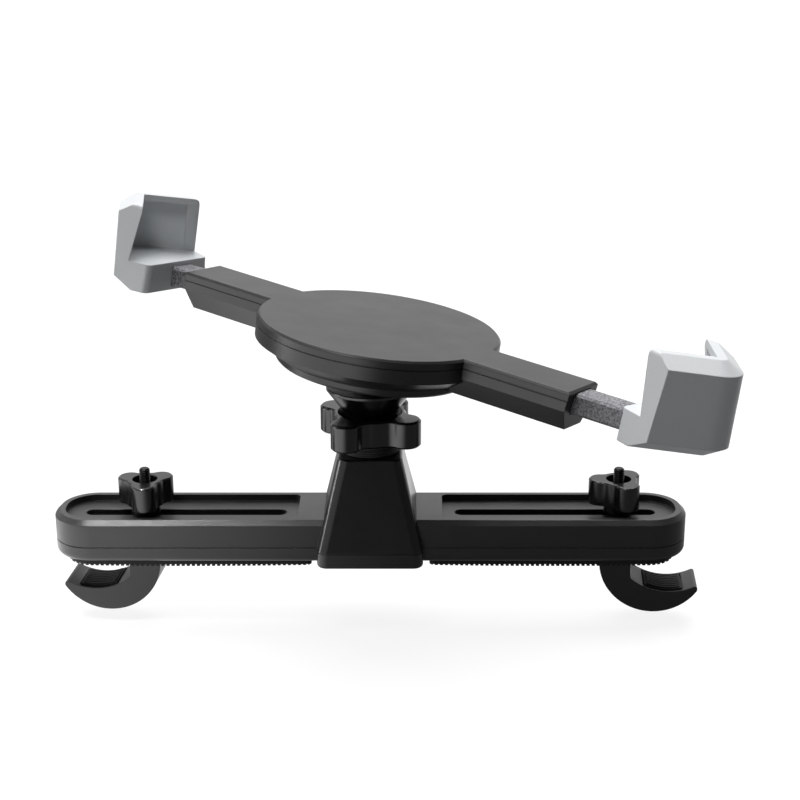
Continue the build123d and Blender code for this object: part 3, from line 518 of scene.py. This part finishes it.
def ring_faces(rows, columns, loop=False):
    """Quads between neighbouring rings, round each ring, and from the last ring to the first if it loops."""
    lower = np.arange(rows if loop else rows - 1)[:, None] * columns
    upper = (lower + columns) % (rows * columns)
    here = np.arange(columns)[None, :]
    there = (here + 1) % columns
    return np.stack([lower + here, lower + there, upper + there, upper + here], -1).reshape(-1, 4)


def turned_solid(points):
    """Close a grid of rings, lowest first, with a fan at each end; returns vertices and faces."""
    rows, columns = points.shape[:2]
    flat = points.reshape(-1, 3)
    ends = np.stack([points[0].mean(0), points[-1].mean(0)])
    here = np.arange(columns)
    there = (here + 1) % columns
    top = (rows - 1) * columns
    first = np.stack([np.full(columns, len(flat)), there, here], -1)
    last = np.stack([np.full(columns, len(flat) + 1), top + here, top + there], -1)
    faces = ring_faces(rows, columns).tolist() + first.tolist() + last.tolist()
    return np.concatenate([flat, ends]), faces


def make_piece(name, solids, material, body, replaced=None):
    """One object of one or more closed solids on its body, smooth except at its sharp edges.

    It stands for the CAD node that it replaces, where one is given.
    """
    crease = math.radians(40)
    vertices, faces = [], []
    for points, quads in solids:
        start = sum(len(block) for block in vertices)
        vertices.append(points)
        faces += [[start + corner for corner in face] for face in quads]
    mesh = bpy.data.meshes.new(name)
    mesh.from_pydata(np.concatenate(vertices).tolist(), [], faces)
    mesh.validate()
    mesh.shade_smooth()
    mesh.set_sharp_from_angle(angle=crease)
    mesh.materials.append(material)
    piece = bpy.data.objects.new(name, mesh)
    bpy.context.scene.collection.objects.link(piece)
    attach(piece, body)
    if replaced:
        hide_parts(replaced)


def neck_form(low, high, sizes):
    """Threaded sleeve on the socket's neck: the root radius plus the thread wave, from a low to a high level.

    Its rings run up the thread and close through a ring of the bore's radius at each end.
    """
    angle = ring_angles(144)
    height = np.arange(low, high, sizes.neck_pitch / 10)[:, None]
    crest = NECK_ROOT + sizes.neck_thread * thread_wave(height / sizes.neck_pitch, angle)
    bore = np.full(angle.shape, NECK_BORE)
    rings = np.concatenate(
        [ring_points(bore, low, angle), ring_points(crest, height, angle), ring_points(bore, high, angle)]
    )
    rows, columns = rings.shape[:2]
    return rings.reshape(-1, 3), ring_faces(rows, columns, loop=True).tolist()


def stud_form(low, high, sizes):
    """Hexagon-headed stud with a thread, in the box from low to high: radius by angle and height.

    In the head the radius is the hexagon's, the flat's distance over the cosine of the angle from its middle.
    In the shank it is the root radius plus the thread wave, and near the tip it is cut by a cone.
    """
    centre = (low + high) / 2
    head = (high[0] - low[0]) / 2
    angle = ring_angles(48)
    hexagon = head * math.cos(math.pi / 6) / np.cos(np.mod(angle, math.pi / 3) - math.pi / 6)
    bottom = low[2]
    top = bottom + STUD_HEAD_HEIGHT
    levels = [bottom, bottom, bottom + STUD_HEAD_EDGE, top - STUD_HEAD_EDGE, top, top]
    shares = [0.0, 0.93, 1.0, 1.0, 0.93, 0.0]
    head_radii = np.maximum(hexagon * np.array(shares)[:, None], STUD_SHANK * 0.6)
    heights = np.append(np.arange(top, high[2], sizes.stud_pitch / 10), high[2])[:, None]
    root = STUD_SHANK + STUD_CREST - sizes.stud_thread
    thread = root + sizes.stud_thread * thread_wave(heights / sizes.stud_pitch, angle)
    thread = np.minimum(thread, STUD_TIP + (high[2] - heights))
    rings = np.concatenate(
        [ring_points(head_radii, np.array(levels)[:, None], angle), ring_points(thread, heights, angle)]
    )
    rings[..., :2] += centre[:2]
    return turned_solid(rings)


def screw_form(kind, sizes):
    """Pan-headed screw along Z, its head's underside at zero: a threaded shank below, a domed head above.

    The shank's radius is the root radius plus the thread wave, cut by a cone at the point. The head's side is
    rings at shares of its height and radius. Its top is a grid of radius and angle: a shallow dome, less a
    cross whose arms have soft sides and ends.
    """
    head, height, shank, length = (size * MM for size in SCREW_SIZES[kind])
    point_radius, point_slope = shank * 0.3, 0.8
    side_levels = np.array([0.0, 0.0, 0.55, 0.8, 0.93])[:, None]
    side_shares = np.array([shank / head, 1.0, 1.0, 0.975, 0.93])[:, None]
    dome_drop = 0.08
    cross_reach = min(0.62 * head, 2.4 * MM)
    soft_side, soft_end = 0.15 * MM, 0.2 * MM
    angle = ring_angles(72)
    along = np.arange(-length, 0, sizes.screw_pitch / 8)[:, None]
    wave = thread_wave(along / sizes.screw_pitch, angle)
    shank_radii = shank - sizes.screw_thread * (1 - wave)
    shank_radii = np.minimum(shank_radii, point_radius + (along + length) * point_slope)
    share = np.linspace(0.9, 0.02, 26)[:, None]
    across = np.abs(share * head * np.cos(angle))
    up = np.abs(share * head * np.sin(angle))
    cross = np.clip((sizes.cross_width / 2 - np.minimum(across, up)) / soft_side + 0.5, 0, 1)
    cross = cross * np.clip((cross_reach - np.maximum(across, up)) / soft_end + 0.5, 0, 1)
    dome = height * (1 - dome_drop * share**2) - sizes.cross_depth * cross
    whole = np.ones_like(angle)
    rings = np.concatenate(
        [
            ring_points(shank_radii, along, angle),
            ring_points(side_shares * head * whole, side_levels * height, angle),
            ring_points(share * head * whole, dome, angle),
        ]
    )
    return turned_solid(rings)


def placed(solid, origin, across, outward):
    """Carry a solid to an origin, with its X along one direction and its Z along another."""
    points, faces = solid
    z = np.array(outward) / np.linalg.norm(outward)
    x = np.array(across) - np.dot(across, z) * z
    x = x / np.linalg.norm(x)
    axes = np.stack([x, np.cross(z, x), z])
    return points @ axes + np.array(origin), faces


class HolderFrame:
    """The tipped plane of the dish: its middle, its normal and the direction of the arms, from the joints."""

    centre = np.array(joints["holder_swivel"]["pos_m"])
    normal = np.array(joints["holder_swivel"]["axis"])
    along = np.array(joints["arm_near_slide"]["axis"])
    across = np.cross(normal, along)

    @classmethod
    def point(cls, along, across, height):
        """A point by its distance along the arms, across them and along the normal."""
        return cls.centre + along * cls.along + across * cls.across + height * cls.normal


class MOUNT_OT_shells(Operator):
    """Finish the bar, the tower and the foot"""

    bl_idname = "mount.shells"
    bl_label = "Bar and Tower"

    def execute(self, context):
        dress(case_abs(*settings(context)), "upper_shell", "lower_shell")
        return {"FINISHED"}


class MOUNT_OT_rubber(Operator):
    """Finish the ribbed strips under the bar and the pads in the hooks"""

    bl_idname = "mount.rubber"
    bl_label = "Strips and Pads"

    def execute(self, context):
        rubber = pad_rubber(context.scene.mount_colours)
        dress(rubber, "grip_strip_left", "grip_strip_right", "hook_pad_left", "hook_pad_right")
        return {"FINISHED"}


class MOUNT_OT_joint(Operator):
    """Finish the ball and its stem, and cut the thread on the socket's neck"""

    bl_idname = "mount.joint"
    bl_label = "Ball Joint"

    def execute(self, context):
        colours, sizes = settings(context)
        dress(joint_acetal(colours, sizes), "pivot_ball", "ball_stem")
        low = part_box("upper_shell")[1][2] + NECK_GAP
        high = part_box("clamp_nut")[0][2] - NECK_GAP
        sleeve = neck_form(low, high, sizes)
        make_piece("neck_thread", [sleeve], neck_nylon(colours, sizes), "base")
        return {"FINISHED"}


class MOUNT_OT_holder(Operator):
    """Finish the dish, the arm housings and their cover"""

    bl_idname = "mount.holder"
    bl_label = "Dish and Arms"

    def execute(self, context):
        dress(holder_abs(*settings(context)), "holder_back", "holder_front")
        return {"FINISHED"}


class MOUNT_OT_slides(Operator):
    """Finish the sliding bars and the friction leaves under them"""

    bl_idname = "mount.slides"
    bl_label = "Sliding Bars"

    def execute(self, context):
        colours, sizes = settings(context)
        dress(slide_nylon(colours, sizes), "arm_bar_near", "arm_bar_far")
        dress(spring_steel(colours), "friction_leaf_near", "friction_leaf_far")
        return {"FINISHED"}


class MOUNT_OT_clamps(Operator):
    """Finish the two corner clamps"""

    bl_idname = "mount.clamps"
    bl_label = "Corner Clamps"

    def execute(self, context):
        dress(clamp_abs(*settings(context)), "corner_clamp_near", "corner_clamp_far")
        return {"FINISHED"}


class MOUNT_OT_hooks(Operator):
    """Finish the two hooks"""

    bl_idname = "mount.hooks"
    bl_label = "Hooks"

    def execute(self, context):
        dress(hook_nylon(*settings(context)), "hook_left", "hook_right")
        return {"FINISHED"}


class MOUNT_OT_knobs(Operator):
    """Finish the knobs, the clamp nut and the split socket under it"""

    bl_idname = "mount.knobs"
    bl_label = "Knobs and Socket"

    def execute(self, context):
        dress(knob_nylon(*settings(context)), "knob_left", "knob_right", "clamp_nut", "socket")
        return {"FINISHED"}


class MOUNT_OT_studs(Operator):
    """Make the two threaded studs in place of their plain forms, and finish their washers and nuts"""

    bl_idname = "mount.studs"
    bl_label = "Studs"

    def execute(self, context):
        colours, sizes = settings(context)
        oxide = black_oxide(colours)
        for side in ("left", "right"):
            dress(oxide, f"washer_{side}", f"knob_nut_{side}")
            stud = f"stud_{side}"
            low, high = (np.array(corner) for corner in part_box(stud))
            make_piece(f"threaded_{stud}", [stud_form(low, high, sizes)], oxide, stud, stud)
        return {"FINISHED"}


class MOUNT_OT_screws(Operator):
    """Make the cross-headed screws in place of their plain forms, and finish the swivel washer"""

    bl_idname = "mount.screws"
    bl_label = "Screws"

    def execute(self, context):
        colours, sizes = settings(context)
        steel = plated_steel(colours)
        dress(steel, "swivel_washer")
        self.add_shell_screws(steel, sizes)
        self.add_holder_screws(steel, sizes)
        self.add_pivot_screws(steel, sizes)
        return {"FINISHED"}

    def add_shell_screws(self, steel, sizes):
        """Four screws up into the tower's foot, and one at each end of the bar."""
        end, seat = 107.1 * MM, 2.0 * MM
        foot_along, foot_across = 13.0 * MM, 15.4 * MM
        places = [(x, y) for x in (-foot_along, foot_along) for y in (-foot_across, foot_across)]
        places += [(-end, 0), (end, 0)]
        shell = screw_form("shell", sizes)
        shells = [placed(shell, (x, y, seat), AHEAD, DOWN) for x, y in places]
        make_piece("cross_shell_screws", shells, steel, "base", "shell_screws")

    def add_holder_screws(self, steel, sizes):
        """Four case screws on a circle in the dish, and the screw that holds each clamp on its bar."""
        circle, case_seat, arm_seat = 30 * MM, 13.4 * MM, 17.9 * MM
        arm_reach = {"near": 109.6 * MM, "far": -99.6 * MM}
        back, ahead = -HolderFrame.normal, HolderFrame.along
        case = screw_form("case", sizes)
        cases = []
        for turn in np.radians([45, 135, 225, 315]):
            seat = HolderFrame.point(circle * math.cos(turn), circle * math.sin(turn), case_seat)
            cases.append(placed(case, seat, ahead, back))
        make_piece("cross_case_screws", cases, steel, "holder", "case_screws")
        for side, reach in arm_reach.items():
            screw = placed(screw_form("arm", sizes), HolderFrame.point(reach, 0, arm_seat), ahead, back)
            node = f"arm_screw_{side}"
            make_piece(f"cross_{node}", [screw], steel, f"arm_{side}", node)

    def add_pivot_screws(self, steel, sizes):
        """The screw inside the tower that holds the socket, and the one that keeps the dish on its stem."""
        socket_seat, swivel_seat = 34.3 * MM, 15.4 * MM
        socket = placed(screw_form("socket", sizes), (0, 0, socket_seat), AHEAD, DOWN)
        make_piece("cross_socket_screw", [socket], steel, "base", "socket_screw")
        seat = HolderFrame.point(0, 0, swivel_seat)
        swivel = placed(screw_form("swivel", sizes), seat, HolderFrame.along, HolderFrame.normal)
        make_piece("cross_swivel_screw", [swivel], steel, "stem", "swivel_screw")


def paper_floor():
    """White paper that keeps the object's shadow and glows to the eye as white as its backdrop.

    Reflections see only its glow, lit from the left and from behind: in front of the object the glow falls
    along X from the bright side to the dark side, and behind the object it rises along X to full white.
    """
    glow_to_eye = 0.87
    material, tree, shader, place = start_material("white_paper")
    shader.inputs["Roughness"].default_value = 0.9
    shader.inputs["Specular IOR Level"].default_value = 0.1
    shader.inputs["Emission Color"].default_value = (1, 1, 1, 1)
    path = add_node(tree, "ShaderNodeLightPath")
    mirrored = path.outputs["Is Glossy Ray"]
    paper = add_node(
        tree,
        "ShaderNodeMix",
        {FACTOR: mirrored, FIRST_COLOUR: linear("#7c7c7c"), SECOND_COLOUR: linear("#202020")},
        data_type="RGBA",
    )
    tree.links.new(paper.outputs[MIXED], shader.inputs["Base Color"])
    along = add_node(tree, "ShaderNodeSeparateXYZ", {"Vector": place})
    front = add_node(
        tree,
        "ShaderNodeMapRange",
        {"Value": along.outputs["X"], FROM_LOW: -0.15, FROM_HIGH: 0.02, TO_LOW: 2.5, TO_HIGH: 0.2},
        interpolation_type="SMOOTHSTEP",
    )
    rear = add_node(
        tree,
        "ShaderNodeMapRange",
        {"Value": along.outputs["X"], FROM_LOW: -0.05, FROM_HIGH: 0.03, TO_LOW: 0.25, TO_HIGH: 1.0},
    )
    lit = add_node(
        tree,
        "ShaderNodeMapRange",
        {
            "Value": along.outputs["Y"],
            FROM_LOW: 0.03,
            FROM_HIGH: 0.12,
            TO_LOW: front.outputs[0],
            TO_HIGH: rear.outputs[0],
        },
        interpolation_type="SMOOTHSTEP",
    )
    to_mirror = add_node(tree, "ShaderNodeMath", {0: mirrored, 1: lit.outputs[0]}, operation="MULTIPLY")
    seen = add_node(
        tree,
        "ShaderNodeMath",
        {0: path.outputs["Is Camera Ray"], 1: path.outputs["Is Transmission Ray"]},
        operation="MAXIMUM",
    )
    glow = add_node(
        tree,
        "ShaderNodeMath",
        {0: seen.outputs[0], 1: glow_to_eye, 2: to_mirror.outputs[0]},
        operation="MULTIPLY_ADD",
    )
    tree.links.new(glow.outputs[0], shader.inputs["Emission Strength"])
    return material


def add_floor(scene):
    """A wide sheet of paper, as low as the hooks sink when their knobs are loosened."""
    reach, gap = 9.0, 0.3 * MM
    level = cad_box[0][2] + joints["left_hook_lift"]["range_m"][0] - gap
    sheet = bpy.data.meshes.new("floor")
    corners = [(-reach, -reach, level), (reach, -reach, level), (reach, reach, level), (-reach, reach, level)]
    sheet.from_pydata(corners, [], [(0, 1, 2, 3)])
    sheet.materials.append(paper_floor())
    floor = bpy.data.objects.new("floor", sheet)
    scene.collection.objects.link(floor)


def add_softbox(scene, name, place, target, size, power, spread=180):
    """A rectangular soft light at a place, turned to a target, of a width and height in metres.

    A honeycomb grid on its front narrows its beam to the spread, in degrees.
    """
    lamp = bpy.data.lights.new(name, "AREA")
    lamp.shape = "RECTANGLE"
    lamp.size, lamp.size_y = size
    lamp.energy = power
    lamp.spread = math.radians(spread)
    box = bpy.data.objects.new(name, lamp)
    box.location = place
    aim = np.array(target) - np.array(place)
    yaw = math.atan2(aim[0], -aim[1])
    box.rotation_euler = (math.acos(-aim[2] / np.linalg.norm(aim)), 0, math.pi + yaw)
    scene.collection.objects.link(box)


def add_overhead(scene, strength, spread, lean):
    """A broad even light from above and slightly behind, as from a lit cloth ceiling; angles in degrees."""
    lamp = bpy.data.lights.new("overhead", "SUN")
    lamp.energy = strength
    lamp.angle = math.radians(spread)
    light = bpy.data.objects.new("overhead", lamp)
    light.rotation_euler = (math.radians(-lean), 0, 0)
    scene.collection.objects.link(light)


def set_world(scene):
    """A room that is white to the eye; to everything else it is dim in front and paler behind.

    Reflections also see it brighter on the left, as a wall there would be.
    """
    wall_glow = 0.8
    world = bpy.data.worlds.new("studio")
    scene.world = world
    world.use_nodes = True
    tree = world.node_tree
    tree.nodes.clear()
    path = add_node(tree, "ShaderNodeLightPath")
    mirrored = path.outputs["Is Glossy Ray"]
    heading = add_node(tree, "ShaderNodeTexCoord").outputs["Generated"]
    ahead = add_node(tree, "ShaderNodeSeparateXYZ", {"Vector": heading})
    behind = add_node(tree, "ShaderNodeMapRange", {"Value": mirrored, TO_LOW: 0.3, TO_HIGH: 0.9})
    wall = add_node(
        tree,
        "ShaderNodeMapRange",
        {"Value": ahead.outputs["X"], FROM_LOW: -0.35, FROM_HIGH: -0.02, TO_LOW: mirrored, TO_HIGH: 0.0},
        interpolation_type="SMOOTHSTEP",
    )
    glance = add_node(tree, "ShaderNodeMapRange", {"Value": mirrored, TO_LOW: 0.0, TO_HIGH: 0.13})
    front = add_node(
        tree, "ShaderNodeMapRange", {"Value": wall.outputs[0], TO_LOW: glance.outputs[0], TO_HIGH: wall_glow}
    )
    room = add_node(
        tree,
        "ShaderNodeMapRange",
        {
            "Value": ahead.outputs["Y"],
            FROM_LOW: 0.0,
            FROM_HIGH: 0.8,
            TO_LOW: front.outputs[0],
            TO_HIGH: behind.outputs[0],
        },
    )
    strength = add_node(
        tree,
        "ShaderNodeMapRange",
        {"Value": path.outputs["Is Camera Ray"], TO_LOW: room.outputs[0], TO_HIGH: 1.0},
    )
    sky = add_node(tree, "ShaderNodeBackground", {"Color": (1, 1, 1, 1), "Strength": strength.outputs[0]})
    add_node(tree, "ShaderNodeOutputWorld", {"Surface": sky.outputs["Background"]})


def add_camera(scene):
    """A long lens in front of the bar and above it, tipped down to it."""
    lens = bpy.data.cameras.new("camera")
    lens.lens = 72.9
    lens.sensor_width = 36.0
    lens.clip_start = 0.01
    lens.clip_end = 50.0
    camera = bpy.data.objects.new("camera", lens)
    camera.location = (0.0105, -0.54083, 0.23126)
    camera.rotation_euler = (math.radians(72), 0, 0)
    scene.collection.objects.link(camera)
    scene.camera = camera


class MOUNT_OT_stage(Operator):
    """Set the floor, the lights, the world and the camera"""

    bl_idname = "mount.stage"
    bl_label = "Studio"

    def execute(self, context):
        scene = context.scene
        add_floor(scene)
        add_overhead(scene, strength=3.3, spread=54, lean=22)
        add_softbox(
            scene,
            "left_softbox",
            place=(-0.85, 0.02, 0.2),
            target=(0.0, 0.0, 0.03),
            size=(0.18, 0.42),
            power=1.9,
        )
        add_softbox(
            scene,
            "front_softbox",
            place=(-0.155, -0.25, 0.6),
            target=(-0.08, -0.015, 0.02),
            size=(0.19, 0.2),
            power=0.65,
        )
        # a narrow beam for the highlight along the left half of the bar's front chamfer
        add_softbox(
            scene,
            "edge_softbox",
            place=(-0.21, -0.25, 0.6),
            target=(-0.115, -0.014, 0.015),
            size=(0.06, 0.08),
            power=0.018,
            spread=16,
        )
        set_world(scene)
        add_camera(scene)
        scene.view_settings.view_transform = "Standard"
        return {"FINISHED"}


class MOUNT_PT_sidebar(Panel):
    """Steps and settings of the mount, in the order in which they run"""

    bl_idname = "MOUNT_PT_sidebar"
    bl_label = "Headrest Tablet Mount"
    bl_space_type = "VIEW_3D"
    bl_region_type = "UI"
    bl_category = "Mount"

    def draw(self, context):
        column = self.layout.column(align=True)
        for step in steps:
            column.operator(step.bl_idname)
        for group in settings(context):
            box = self.layout.box()
            for key in group.__annotations__:
                box.prop(group, key)


steps = (
    MOUNT_OT_shells,
    MOUNT_OT_rubber,
    MOUNT_OT_joint,
    MOUNT_OT_holder,
    MOUNT_OT_slides,
    MOUNT_OT_clamps,
    MOUNT_OT_hooks,
    MOUNT_OT_knobs,
    MOUNT_OT_studs,
    MOUNT_OT_screws,
    MOUNT_OT_stage,
)
classes = (MountColours, MountSizes, *steps, MOUNT_PT_sidebar)


def register():
    """Register the classes and hang the settings on the scene."""
    for cls in classes:
        bpy.utils.register_class(cls)
    bpy.types.Scene.mount_colours = PointerProperty(type=MountColours)
    bpy.types.Scene.mount_sizes = PointerProperty(type=MountSizes)


def unregister():
    """Take the settings off the scene and unregister the classes."""
    del bpy.types.Scene.mount_sizes
    del bpy.types.Scene.mount_colours
    for cls in reversed(classes):
        bpy.utils.unregister_class(cls)


def main():
    """Register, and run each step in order."""
    register()
    for step in steps:
        family, name = step.bl_idname.split(".")
        getattr(getattr(bpy.ops, family), name)()


if __name__ == "__main__":
    main()
